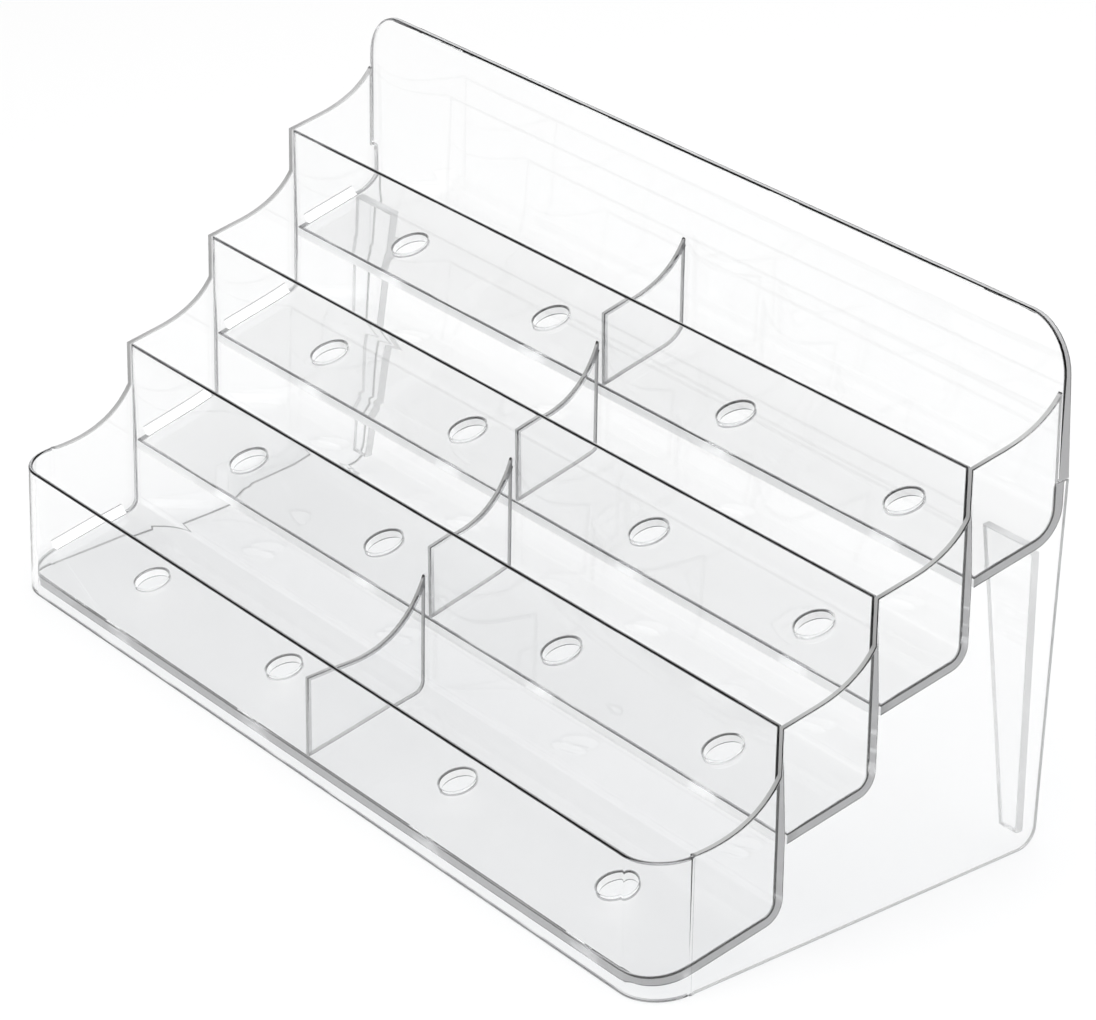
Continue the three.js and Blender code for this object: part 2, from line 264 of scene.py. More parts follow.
@dataclass
class Skin:
    """The points and faces of a closed sheet, with marks on the faces of its rims.

    The edge mark is BROAD on the sheet's faces, ROUND on the rounds of a rim, and SAWN, or PAINTED_LIT
    where it is painted pale with a painted glow as if it caught the light, on its flat part. The
    cement mark is 1 where cement hides a face.
    """

    blocks: list[np.ndarray] = field(default_factory=list)
    faces: list[tuple[int, ...]] = field(default_factory=list)
    edge: list[float] = field(default_factory=list)
    cement: list[float] = field(default_factory=list)
    count: int = 0

    def add_points(self, points: np.ndarray) -> np.ndarray:
        """Add points, shaped (..., 3), and return their indices in the same shape."""
        ids = self.count + np.arange(points[..., 0].size)
        self.blocks.append(points.reshape(-1, 3))
        self.count += len(ids)
        return ids.reshape(points.shape[:-1])

    def add_faces(self, faces: Sequence[Sequence[int]], edge: float = BROAD, cement: float = 0.0) -> None:
        """Add faces that share one pair of marks."""
        self.faces += [tuple(int(i) for i in face) for face in faces]
        self.edge += [edge] * len(faces)
        self.cement += [cement] * len(faces)

    def add_rim(self, first: np.ndarray, last: np.ndarray, between: np.ndarray, opening: bool) -> None:
        """Join the edges of two broad faces by strips through the rim's loops.

        Args:
            first: Indices round the first face.
            last: Indices round the last face.
            between: The rim's loops of points, shaped (loops, n, 3).
            opening: Whether the rim goes round an opening.
        """
        loops = [first, *self.add_points(between), last]
        middle = len(loops) // 2 - 1
        for i, (here, there) in enumerate(zip(loops[:-1], loops[1:])):
            quads = strip(there, here, closed=True) if opening else strip(here, there, closed=True)
            # A hole's flat rim is painted pale with a glow, a painted highlight; an outer flat rim is sawn.
            flat = PAINTED_LIT if opening else SAWN
            self.add_faces(quads, flat if i == middle else ROUND)

    def piece(self, name: str, touch_up: TouchUp | None = None) -> bpy.types.Object:
        """Make the piece, smooth, with its broad faces kept flat by their size.

        Args:
            name: The object's name.
            touch_up: Changes the marks of some faces, given their centres and both sets of marks.

        Returns:
            The new object, with its place in its mesh and its faces outwards.
        """
        points = np.concatenate(self.blocks)
        faces = self.faces
        marks = {"edge": np.array(self.edge), "cement": np.array(self.cement)}
        if touch_up:
            centres = np.array([points[list(face)].mean(axis=0) for face in faces])
            touch_up(centres, marks["edge"], marks["cement"])
        if signed_volume(points, faces) < 0:
            faces = [tuple(reversed(face)) for face in faces]
        mesh = bpy.data.meshes.new(name)
        mesh.from_pydata(points.tolist(), [], faces)
        for mark, values in marks.items():
            mesh.attributes.new(mark, "FLOAT", "FACE").data.foreach_set("value", values)
        mesh.shade_smooth()
        piece = bpy.data.objects.new(name, mesh)
        bpy.context.scene.collection.objects.link(piece)
        weighted = piece.modifiers.new("flat_faces", "WEIGHTED_NORMAL")
        weighted.mode = "FACE_AREA"
        weighted.weight = FLAT_WEIGHT
        return piece


def signed_volume(points: np.ndarray, faces: Sequence[Sequence[int]]) -> float:
    """Return a closed mesh's volume, which is negative where its faces point inwards."""
    total = 0.0
    by_size: dict[int, list[Sequence[int]]] = {}
    for face in faces:
        by_size.setdefault(len(face), []).append(face)
    for size, group in by_size.items():
        corners = points[np.array(group)]
        for i in range(1, size - 1):
            turned = np.cross(corners[:, i], corners[:, i + 1])
            total += float(np.einsum("ij,ij->", corners[:, 0], turned))
    return total / 6


def rim_loops(
    first: np.ndarray, last: np.ndarray, radius: float | np.ndarray, opening: bool = False, steps: int = 4
) -> np.ndarray:
    """Work out the loops of a sheet's rim, with a quarter round at each broad face.

    Outward is square to the rim's run and to the way through the sheet. Along each quarter round
    the depth is r (1 - cos a) and the set-in is r (1 - sin a), for a from 0 to a right angle.
    At a corner the set-in goes along the mitre.

    Args:
        first: Points round one broad face's outer bound, shaped (n, 3).
        last: Points round the other's, in the same order.
        radius: The rounds' radius, for all or for each point. It stays under half the sheet.
        opening: Whether the rim goes round an opening, with the sheet outside it.
        steps: Chords in each quarter round.

    Returns:
        The loops from face to face, shaped (2 steps + 2, n, 3).
    """
    through = last - first
    depth = np.linalg.norm(through, axis=1, keepdims=True)
    through = through / depth
    run = np.roll(first, -1, axis=0) - first
    run /= np.linalg.norm(run, axis=1, keepdims=True)
    square = np.cross(run, through)
    square /= np.linalg.norm(square, axis=1, keepdims=True)
    before = np.roll(square, 1, axis=0)
    mitre = (square + before) / (1 + np.einsum("ij,ij->i", square, before))[:, None]
    outward = np.cross(first - first.mean(axis=0), run)
    if (np.einsum("ij,ij->", outward, through) > 0) != opening:
        mitre = -mitre
    reach = np.minimum(np.reshape(radius, (-1, 1)), RIM_SHARE * depth)
    angle = np.linspace(0.0, math.pi / 2, steps + 1)[:, None, None]
    down = reach * (1 - np.cos(angle))
    inset = reach * (1 - np.sin(angle))
    near = first + through * down + mitre * inset
    far = last - through * down + mitre * inset
    return np.concatenate([near, far[::-1]])


def loop_of_block(block: np.ndarray) -> np.ndarray:
    """Return the indices or points round the edge of a block of a grid, in order."""
    return np.concatenate([block[0, :-1], block[:-1, -1], block[-1, :0:-1], block[:0:-1, 0]])


def strip(first: np.ndarray, second: np.ndarray, closed: bool = False) -> list[tuple[int, ...]]:
    """Return the quads between two rows of indices, joined end to end where closed."""
    if closed:
        first, second = np.append(first, first[0]), np.append(second, second[0])
    quads = np.stack([first[:-1], first[1:], second[1:], second[:-1]], axis=1)
    return [tuple(quad) for quad in quads]


@dataclass
class Opening:
    """A round hole through a sheet, inside a block of its grid.

    The rims hold one point for each point round the block, on the upper and on the lower face.
    """

    rows: slice
    columns: slice
    upper_rim: np.ndarray
    lower_rim: np.ndarray


def set_boundary(grid: np.ndarray, loop: np.ndarray) -> None:
    """Move the points round a grid's edge to those of a loop, in the order of loop_of_block."""
    rows, columns = grid.shape[:2]
    ids = loop_of_block(np.arange(rows * columns).reshape(rows, columns))
    grid.reshape(-1, 3)[ids] = loop


def closed_sheet(
    upper: np.ndarray, lower: np.ndarray, rim: np.ndarray, openings: Sequence[Opening] = ()
) -> Skin:
    """Join two grids of points into one closed sheet with rounded rims.

    The two faces are quads between neighbouring grid points, a rounded rim closes all four sides,
    and each opening swaps its block of quads for a ring down to a rounded hole through the sheet.

    Args:
        upper: One face's points, shaped (rows, columns, 3).
        lower: The other face's points, in the same order.
        rim: Radius of the rounds at each grid point, shaped (rows, columns).
        openings: Round holes to leave in both faces.

    Returns:
        The closed skin.
    """
    rows, columns = upper.shape[:2]
    corner_ids = loop_of_block(np.arange(rows * columns).reshape(rows, columns))
    rims = rim.reshape(-1)[corner_ids]
    loops = rim_loops(upper.reshape(-1, 3)[corner_ids], lower.reshape(-1, 3)[corner_ids], rims)
    set_boundary(upper, loops[0])
    set_boundary(lower, loops[-1])
    skin = Skin()
    ids, under = skin.add_points(upper), skin.add_points(lower)
    keep = np.ones((rows - 1, columns - 1), dtype=bool)
    for hole in openings:
        keep[hole.rows.start : hole.rows.stop - 1, hole.columns.start : hole.columns.stop - 1] = False
        rounds = rim_loops(hole.upper_rim, hole.lower_rim, rim.max(), opening=True)
        first, last = skin.add_points(rounds[0]), skin.add_points(rounds[-1])
        skin.add_faces(strip(first, loop_of_block(ids[hole.rows, hole.columns]), closed=True))
        skin.add_faces(strip(loop_of_block(under[hole.rows, hole.columns]), last, closed=True))
        skin.add_rim(first, last, rounds[1:-1], opening=True)
    r, c = np.nonzero(keep)
    skin.add_faces(np.stack([ids[r, c], ids[r + 1, c], ids[r + 1, c + 1], ids[r, c + 1]], axis=1))
    skin.add_faces(np.stack([under[r, c], under[r, c + 1], under[r + 1, c + 1], under[r + 1, c]], axis=1))
    skin.add_rim(loop_of_block(ids), loop_of_block(under), loops[1:-1], opening=False)
    return skin


def plate(outline: np.ndarray, near: float, far: float, rim: float | np.ndarray) -> Skin:
    """Make a flat plate with rounded rims from its outline, between two places across the width.

    Args:
        outline: The outline's (back, up) points in order, shaped (n, 2).
        near: The x of one face.
        far: The x of the other face.
        rim: Radius of the rounds, for all or for each point.

    Returns:
        The closed skin.
    """
    faces = [np.column_stack([np.full(len(outline), x), outline]) for x in (near, far)]
    loops = rim_loops(faces[0], faces[1], rim)
    skin = Skin()
    first, last = skin.add_points(loops[0]), skin.add_points(loops[-1])
    skin.add_faces([first[::-1], last])
    skin.add_rim(first, last, loops[1:-1], opening=False)
    return skin


# --------------------------------------------------------------------------------------------------
# Shader maths and the clear finishes
# --------------------------------------------------------------------------------------------------


def number_inputs(values: Sequence[object]) -> dict[str, object]:
    """Name values by the number of the socket that each goes to."""
    return {f"_{i}": value for i, value in enumerate(values)}


class Shader:
    """One material's node tree, with a single method that adds any node."""

    def __init__(self, name: str) -> None:
        """Start an empty material of this name."""
        self.material = bpy.data.materials.new(name)
        self.material.use_nodes = True
        self.tree = self.material.node_tree
        self.tree.nodes.clear()

    def node(self, kind: str, settings: dict | None = None, **inputs: object) -> bpy.types.Node:
        """Add a node.

        Args:
            kind: The node's type name.
            settings: Its properties, which are set before its sockets.
            inputs: Values or Signals for its sockets, with underscores for spaces in their names.

        Returns:
            The new node.
        """
        made = self.tree.nodes.new(kind)
        for key, value in (settings or {}).items():
            setattr(made, key, value)
        for key, value in inputs.items():
            socket = made.inputs[int(key[1:])] if key[0] == "_" else made.inputs[key.replace("_", " ")]
            self.feed(socket, value)
        return made

    def feed(self, socket: bpy.types.NodeSocket, value: object) -> None:
        """Link a Signal or socket to a socket, or set it to a plain value."""
        if isinstance(value, Signal):
            value = value.socket
        if isinstance(value, bpy.types.NodeSocket):
            self.tree.links.new(value, socket)
        else:
            socket.default_value = value

    def maths(self, operation: str, *values: object) -> "Signal":
        """Add one Math node that has no Python operator."""
        return self.signal("ShaderNodeMath", 0, {"operation": operation}, **number_inputs(values))

    def signal(
        self, kind: str, output: str | int, settings: dict | None = None, **inputs: object
    ) -> "Signal":
        """Add a node and return one of its outputs as a Signal."""
        return Signal(self, self.node(kind, settings, **inputs).outputs[output])

    def blend(self, factor: "Signal", first: object, second: object) -> "Signal":
        """Mix two colours, each a Signal or three plain numbers, by a factor."""
        mix = self.node("ShaderNodeMix", {"data_type": "RGBA"}, Factor=factor)
        for socket, colour in (("A", first), ("B", second)):
            self.feed(mix.inputs[socket], colour if isinstance(colour, Signal) else (*colour, 1.0))
        return Signal(self, mix.outputs["Result"])

    def noise(self, place: "Signal", scale: float, detail: float) -> "Signal":
        """Add soft noise of a scale, in cells for each metre, and a number of finer octaves."""
        return self.signal("ShaderNodeTexNoise", "Fac", Vector=place, Scale=scale, Detail=detail)

    def mark(self, name: str) -> "Signal":
        """Read a mark from the mesh's faces."""
        return self.signal("ShaderNodeAttribute", "Fac", {"attribute_name": name})

    def choose(self, factor: "Signal", first: bpy.types.Node, second: bpy.types.Node) -> bpy.types.Node:
        """Mix two shaders by a factor."""
        return self.node("ShaderNodeMixShader", Fac=factor, _1=first.outputs[0], _2=second.outputs[0])


@dataclass(frozen=True)
class Signal:
    """A shader value that takes part in ordinary Python expressions."""

    shader: Shader
    socket: bpy.types.NodeSocket

    def __add__(self, other: object) -> "Signal":
        """Add."""
        return self.shader.maths("ADD", self, other)

    def __mul__(self, other: object) -> "Signal":
        """Multiply."""
        return self.shader.maths("MULTIPLY", self, other)

    def __pow__(self, other: object) -> "Signal":
        """Raise to a power."""
        return self.shader.maths("POWER", self, other)

    __radd__ = __add__
    __rmul__ = __mul__


@dataclass(frozen=True)
class ClearFinish:
    """Clear sheet: see-through faces, fine rub marks, a faint cool body tint, painted shade on the
    rounds, and frosted cut edges, the lit ones painted pale with a painted glow.

    Light for shadows and bounced light goes straight through, so the shadow stays faint.
    """

    name: str
    clear: tuple[float, float, float] = (0.99, 0.992, 0.993)
    dull: tuple[float, float, float] = (0.974, 0.976, 0.978)
    # painted shade: the dark colour given to the rounds, standing in for their dark edge lines
    round_painted_shade: tuple[float, float, float] = (0.25, 0.25, 0.26)
    tint: tuple[float, float, float] = (0.66, 0.72, 0.71)
    tint_density: float = 1.5
    shade: tuple[float, float, float] = (0.95, 0.952, 0.955)
    sawn: float = 0.75
    sawn_roughness: float = 0.5
    frost: tuple[float, float, float] = (0.7, 0.7, 0.71)
    # painted highlight: the paler frost on edges painted as if they caught the light
    painted_lit_frost: tuple[float, float, float] = (0.98, 0.98, 0.98)
    # painted glow on the pale edges, though they are no lamp
    painted_glow: tuple[float, float, float] = (0.4, 0.4, 0.4)
    cloud_scale: float = 38.0
    streak_scale: tuple[float, float, float] = (60.0, 900.0, 900.0)
    # The line settings set how the painted shade on the rounds comes and goes along them.
    line_scale: float = 70.0
    line_from: float = 0.36
    line_to: float = 0.5
    line_least: float = 0.35
    refraction: float = 1.49
    polish: float = 0.004
    rub: float = 0.015
    ripple_size: float = 26 * MM
    ripple_depth: float = 0.02 * MM
    ripple_strength: float = 0.25

    def faces(self, shader: Shader, edge: Signal) -> bpy.types.Node:
        """Make the clear faces and rounds.

        Tint and gloss vary slowly over the sheet, with rare rubbed patches and a very shallow
        ripple. The rounds carry painted shade, a darker colour that comes and goes along them and
        stands in for the dark lines that the edges show.

        Args:
            shader: The material's nodes.
            edge: The edge mark.

        Returns:
            The surface shader.
        """
        place = shader.signal("ShaderNodeTexCoord", "Object")
        cloud = shader.noise(place, self.cloud_scale, 3.0)
        streaks = shader.signal("ShaderNodeMapping", 0, Vector=place, Scale=self.streak_scale)
        rubbed = (cloud * shader.noise(streaks, 1.0, 2.0)) ** 3.0
        ripple = shader.noise(place, 1 / self.ripple_size, 1.0)
        bump = shader.signal(
            "ShaderNodeBump",
            "Normal",
            Strength=self.ripple_strength,
            Distance=self.ripple_depth,
            Height=ripple,
        )
        painted_shade_share = shader.signal(
            "ShaderNodeMapRange",
            0,
            Value=shader.noise(place, self.line_scale, 2.0),
            From_Min=self.line_from,
            From_Max=self.line_to,
            To_Min=self.line_least,
        )
        # Painted shade on the rounds, stronger or weaker along them by noise.
        rounds = shader.maths("COMPARE", edge, ROUND, MARK_SPAN) * painted_shade_share
        return shader.node(
            "ShaderNodeBsdfPrincipled",
            Base_Color=shader.blend(rounds, shader.blend(cloud, self.clear, self.dull), self.round_painted_shade),
            Roughness=rubbed * self.rub + self.polish,
            Normal=bump,
            IOR=self.refraction,
            Transmission_Weight=1.0,
        )

    def cut_edge(self, shader: Shader, edge: Signal) -> bpy.types.Node:
        """Make the frosted flat edges, with a painted glow on the pale ones that stands in for light
        collected in the sheet; the edges are no lamp.

        Args:
            shader: The material's nodes.
            edge: The edge mark.

        Returns:
            The surface shader.
        """
        pale = shader.maths("COMPARE", edge, PAINTED_LIT, MARK_SPAN)
        return shader.node(
            "ShaderNodeBsdfPrincipled",
            # Pale edges take the paler frost, a painted highlight on the same sawn edge.
            Base_Color=shader.blend(pale, self.frost, self.painted_lit_frost),
            Roughness=self.sawn_roughness,
            # Painted glow: emission on the pale edges, standing in for light collected in the sheet.
            Emission_Color=shader.blend(pale, (0.0, 0.0, 0.0), self.painted_glow),
            Emission_Strength=1.0,
        )

    def material(self) -> bpy.types.Material:
        """Build the finish as nodes: faces, cut edges, what cement hides, and the body tint."""
        shader = Shader(self.name)
        edge, cement = shader.mark("edge"), shader.mark("cement")
        on_edge = shader.maths("GREATER_THAN", edge, EDGE_ON) * self.sawn
        seen = shader.choose(on_edge, self.faces(shader, edge), self.cut_edge(shader, edge))
        shaded = shader.node("ShaderNodeBsdfTransparent", Color=(*self.shade, 1.0))
        hidden = shader.node("ShaderNodeBsdfTransparent", Color=(1.0, 1.0, 1.0, 1.0))
        path = shader.node("ShaderNodeLightPath").outputs
        lamps = shader.maths("MAXIMUM", path["Is Shadow Ray"], path["Is Diffuse Ray"])
        passed = shader.choose(cement, shaded, hidden)
        surface = shader.choose(shader.maths("MAXIMUM", lamps, cement), seen, passed)
        body = shader.node(
            "ShaderNodeVolumeAbsorption", Color=(*self.tint, 1.0), Density=self.tint_density
        )
        output = shader.node("ShaderNodeOutputMaterial")
        shader.feed(output.inputs["Surface"], surface.outputs[0])
        shader.feed(output.inputs["Volume"], body.outputs[0])
        return shader.material


# Each finish gives its rounds its own depth of painted shade, and its frost sets how light its sawn edges
# are.
FINISHES = {
    finish.name: finish
    for finish in (
        ClearFinish("clear_tray"),
        ClearFinish("clear_front", tint=(0.6, 0.75, 0.7)),
        ClearFinish("clear_side", round_painted_shade=(0.6, 0.6, 0.61), frost=(0.6, 0.6, 0.6)),
        ClearFinish("clear_divider", round_painted_shade=(0.35, 0.35, 0.36), frost=(0.45, 0.45, 0.45)),
        ClearFinish("clear_gusset", frost=(0.95, 0.95, 0.95)),
    )
}


def dress(piece: bpy.types.Object, node: str, slot: str, materials: dict[str, bpy.types.Material]) -> None:
    """Give a piece its finish and let it stand for its frame node.

    Args:
        piece: The piece.
        node: The frame node that it replaces.
        slot: The material slot.
        materials: The finished materials by slot.
    """
    piece.data.materials.append(materials[slot])
    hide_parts(node)
    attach(piece, "root")


# --------------------------------------------------------------------------------------------------
# The pieces
# --------------------------------------------------------------------------------------------------

BEAD_STEPS = 5

def add_bead(skin: Skin, start: np.ndarray, end: np.ndarray, wall: float, radius: float) -> None:
    """Add a concave bead of clear cement along a floor, in the corner against its left-hand wall.

    Across the bead the points are the corner, and a quarter round about the point one radius in
    from the wall and one radius up, from the floor to the wall. It runs straight along the floor.

    Args:
        skin: The tray's skin.
        start: Where the bead starts on the floor's top, as (back, up).
        end: Where it ends.
        wall: The wall's x.
        radius: The bead's reach on the floor and on the wall.
    """
    angle = np.linspace(0.0, math.pi / 2, BEAD_STEPS + 1)
    across = np.concatenate([[0.0], radius * (1 - np.sin(angle))])
    height = np.concatenate([[0.0], radius * (1 - np.cos(angle))])
    up = np.array([-(end - start)[1], (end - start)[0]]) / np.linalg.norm(end - start)
    rings = np.empty((2, len(across), 3))
    rings[..., 0] = wall + across
    for ring, spot in zip(rings, (start, end)):
        ring[:, 1:] = spot + up * (height[:, None] + 2 * SHARP)
    first, last = skin.add_points(rings[0]), skin.add_points(rings[1])
    # The bead's faces are painted pale with a glow: a painted highlight band along the floor.
    skin.add_faces([last, first[::-1]], PAINTED_LIT)
    skin.add_faces(strip(first, last, closed=True), PAINTED_LIT)


@dataclass
class Tray:
    """A floor, its bend and the wall behind it, which ends as the next tier's lip."""

    profile: Profile
    tier: int
    hole_radius: float = 3.05 * MM
    hole_spread: float = 22.7 * MM
    hole_setbacks: tuple[float, ...] = (14 * MM, 10 * MM, 10 * MM, 10 * MM)
    hole_cell: float = 4.5 * MM
    hole_steps: int = 16
    bend_steps: int = 14
    corner_steps: int = 10
    edge_column: float = 84 * MM
    back_corner: float = 9 * MM
    bead: float = 1.6 * MM
    rim: float = 0.35 * MM
    round_share: float = 1.2
    seat_reach: float = 0.3 * MM

    @property
    def name(self) -> str:
        """The tray's node name."""
        return f"tray_{self.tier + 1}"

    def wall(self) -> tuple[np.ndarray, float, float, float]:
        """Return the wall's top front point, its bend radius and its thickness at floor and edge."""
        p = self.profile
        if self.tier == p.rear:
            return p.back_top, p.back_bend, p.back_sheet, p.back_edge
        return p.tiers[self.tier + 1].lip_top, p.tray_bend, p.sheet, p.lip_edge

    def floor_rows(self) -> tuple[np.ndarray, slice]:
        """Return distances along the floor from its lip, and which of them the holes' cells span."""
        spread = np.tan(np.linspace(-math.pi / 4, math.pi / 4, self.hole_steps + 1))
        cell = self.hole_setbacks[self.tier] + self.hole_cell * spread
        before = np.array([])
        if self.tier == 0:
            angle = np.linspace(0, math.pi / 2, self.corner_steps + 1)[1:]
            before = self.front_end() + self.plan_radius() * (1 - np.cos(angle))
        rows = np.concatenate([before, cell])
        return rows, slice(len(before) + 1, len(before) + 1 + len(cell))

    def plan_radius(self) -> float:
        """Radius of the lowest floor's front corners, inside the wrapped front wall."""
        return self.profile.front_corner - self.profile.side_sheet - self.profile.joint

    def front_end(self) -> float:
        """Distance from the lip's front face to the floor's end, along the floor."""
        p = self.profile
        foot = p.tiers[self.tier].lip_foot
        end = crossing(foot, p.along_floor, foot + p.level * (p.lip_sheet(self.tier) + p.joint), p.up_wall)
        return float(np.linalg.norm(end - foot))

    def section(self) -> tuple[np.ndarray, np.ndarray, np.ndarray, slice]:
        """Work out the tray's two faces in section, row by row from the floor's front end.

        The upper face is the floor's top, an arc of the bend's radius and the wall's front. The
        lower face is the floor's underside, an arc with the sheet added and the wall's back, which
        thins evenly from the next floor up to the free edge.

        Returns:
            The upper points, the lower points, each row's half width, and the rows of the holes.
        """
        p = self.profile
        tier = p.tiers[self.tier]
        top, bend, base, edge = self.wall()
        normal = np.array([-p.along_floor[1], p.along_floor[0]])
        lip_back = tier.lip_foot + p.level * (p.lip_sheet(self.tier) + p.joint)
        under = tier.lip_foot - normal * p.sheet
        rows, cell = self.floor_rows()
        along = rows[:, None] * p.along_floor
        front_up = crossing(tier.lip_foot, p.along_floor, lip_back, p.up_wall)
        front_low = crossing(under, p.along_floor, lip_back, p.up_wall)
        outer = crossing(under, p.along_floor, tier.floor_rear + p.level * base, p.up_wall)
        inner_arc = round_corner(tier.floor_rear, p.along_floor, p.up_wall, bend, self.bend_steps)
        outer_arc = round_corner(outer, p.along_floor, p.up_wall, bend + base, self.bend_steps)
        straight = p.back_bend + p.back_sheet if self.tier == p.rear else p.riser
        ahead = tier.floor_rear + p.up_wall * straight
        heights = self.wall_rows(float(np.linalg.norm(top - ahead)))
        rise = heights[:, None] * p.up_wall
        thickness = base + (edge - base) * heights / heights[-1]
        wall_front = ahead + rise
        wall_back = wall_front + p.level * thickness[:, None]
        upper = np.concatenate([[front_up], tier.lip_foot + along, inner_arc, wall_front])
        lower = np.concatenate([[front_low], under + along, outer_arc, wall_back])
        return upper, lower, self.half_widths(upper), cell

    def wall_rows(self, height: float) -> np.ndarray:
        """Return distances up the wall from where it starts to thin to its free edge."""
        if self.tier != self.profile.rear:
            return np.linspace(0.0, height, 5)
        p = self.profile
        start = p.back_bend + p.seat_rise - (p.back_bend + p.back_sheet)
        angle = np.linspace(0, math.pi / 2, self.corner_steps + 1)
        corner = height - self.back_corner * (1 - np.sin(angle))
        return np.concatenate([[0.0, start, start + p.joint], corner])

    def half_widths(self, upper: np.ndarray) -> np.ndarray:
        """Return how far each row reaches from the middle.

        The lowest tray's front corners and the back panel's top corners are quarter circles, and
        the back panel steps out to the full width over its seat.
        """
        p = self.profile
        reach = np.full(len(upper), p.inner_half)
        if self.tier == 0:
            angle = np.linspace(0, math.pi / 2, self.corner_steps + 1)
            reach[: len(angle)] = p.inner_half - self.plan_radius() * (1 - np.sin(angle))
        if self.tier == p.rear:
            count = self.corner_steps + 1
            angle = np.linspace(0, math.pi / 2, count)
            reach[-count - 1 :] = p.half_width
            reach[-count:] = p.half_width - self.back_corner * (1 - np.cos(angle))
        return reach

    def columns(self) -> tuple[np.ndarray, list[slice], list[float]]:
        """Return the inner columns across the width, the columns of each hole, and the holes' x."""
        pocket = self.profile.half_width / 2
        centres = [s * pocket + o * self.hole_spread for s in (-1, 1) for o in (-1, 1)]
        spread = self.hole_cell * np.tan(np.linspace(-math.pi / 4, math.pi / 4, self.hole_steps + 1))
        columns: list[float] = [-self.edge_column]
        slices = []
        for centre in centres:
            slices.append(slice(len(columns) + 1, len(columns) + 1 + len(spread)))
            columns += list(centre + spread)
        columns.append(self.edge_column)
        return np.array(columns), slices, centres

    def build(self) -> bpy.types.Object:
        """Work out the tray's faces, its four holes and its bead, and make the piece."""
        upper, lower, reach, cell = self.section()
        inner, slices, centres = self.columns()
        across = np.column_stack([-reach, np.tile(inner, (len(reach), 1)), reach])
        faces = []
        for section in (upper, lower):
            grid = np.empty((*across.shape, 3))
            grid[..., 0] = across
            grid[..., 1:] = section[:, None, :]
            faces.append(grid)
        openings = [self.hole(faces, cell, columns, centre) for columns, centre in zip(slices, centres)]
        rims = np.full(across.shape, self.rim)
        if self.tier == self.profile.rear:
            step = len(reach) - self.corner_steps - 3
            rims[step : step + 2, [0, -1]] = SHARP
        skin = closed_sheet(faces[0], faces[1], rims, openings)
        tier = self.profile.tiers[self.tier]
        start = tier.lip_foot + self.profile.along_floor * (self.front_end() + self.bead_start())
        end = tier.floor_rear - self.profile.along_floor * self.wall()[1]
        add_bead(skin, start, end, -self.profile.inner_half, self.bead)
        return skin.piece(self.name + "_clear", self.touch_up)

    def bead_start(self) -> float:
        """Distance from the floor's front end to its bead, past any rounded corner."""
        return self.plan_radius() if self.tier == 0 else self.bead

    def touch_up(self, centres: np.ndarray, edge: np.ndarray, cement: np.ndarray) -> None:
        """Paint a cemented front end below its top round pale with a painted glow, a painted
        highlight, and hide the back panel's seat.
        """
        p = self.profile
        depth = centres[:, 1] - centres[:, 2] * math.tan(p.lean)
        lip = p.tiers[self.tier].lip_foot
        front = lip[0] - lip[1] * math.tan(p.lean) + p.sheet + p.joint + self.rim
        is_end = (depth < front) & (np.abs(centres[:, 0]) < p.inner_half - self.rim)
        floor_line = lip[1] + (centres[:, 1] - lip[0]) * math.tan(p.rise)
        below = centres[:, 2] < floor_line - self.round_share * self.rim
        # Painted highlight: the front end below the top round is marked to be painted pale and glowing.
        if self.tier > 0:
            edge[is_end & below & (edge > BROAD)] = PAINTED_LIT
        step = (np.abs(centres[:, 0]) > p.inner_half - SHARP) & (
            np.abs(centres[:, 2] - p.seat[1]) < self.seat_reach
        )
        if self.tier == p.rear:
            cement[step & (edge > BROAD)] = 1.0

    def hole(self, faces: list[np.ndarray], rows: slice, columns: slice, centre: float) -> Opening:
        """Work out a round hole inside its cell.

        Each point round the cell's edge is drawn in towards the hole's centre until it is one hole
        radius away, on the floor's top and on its underside.
        """
        p = self.profile
        foot = p.tiers[self.tier].lip_foot + p.along_floor * self.hole_setbacks[self.tier]
        normal = np.array([-p.along_floor[1], p.along_floor[0]])
        rims = []
        for face, drop in zip(faces, (0.0, p.sheet)):
            middle = np.array([centre, *(foot - normal * drop)])
            block = face[rows, columns]
            spoke = loop_of_block(block) - middle
            rims.append(middle + spoke * self.hole_radius / np.linalg.norm(spoke, axis=1)[:, None])
        return Opening(rows, columns, rims[0], rims[1])


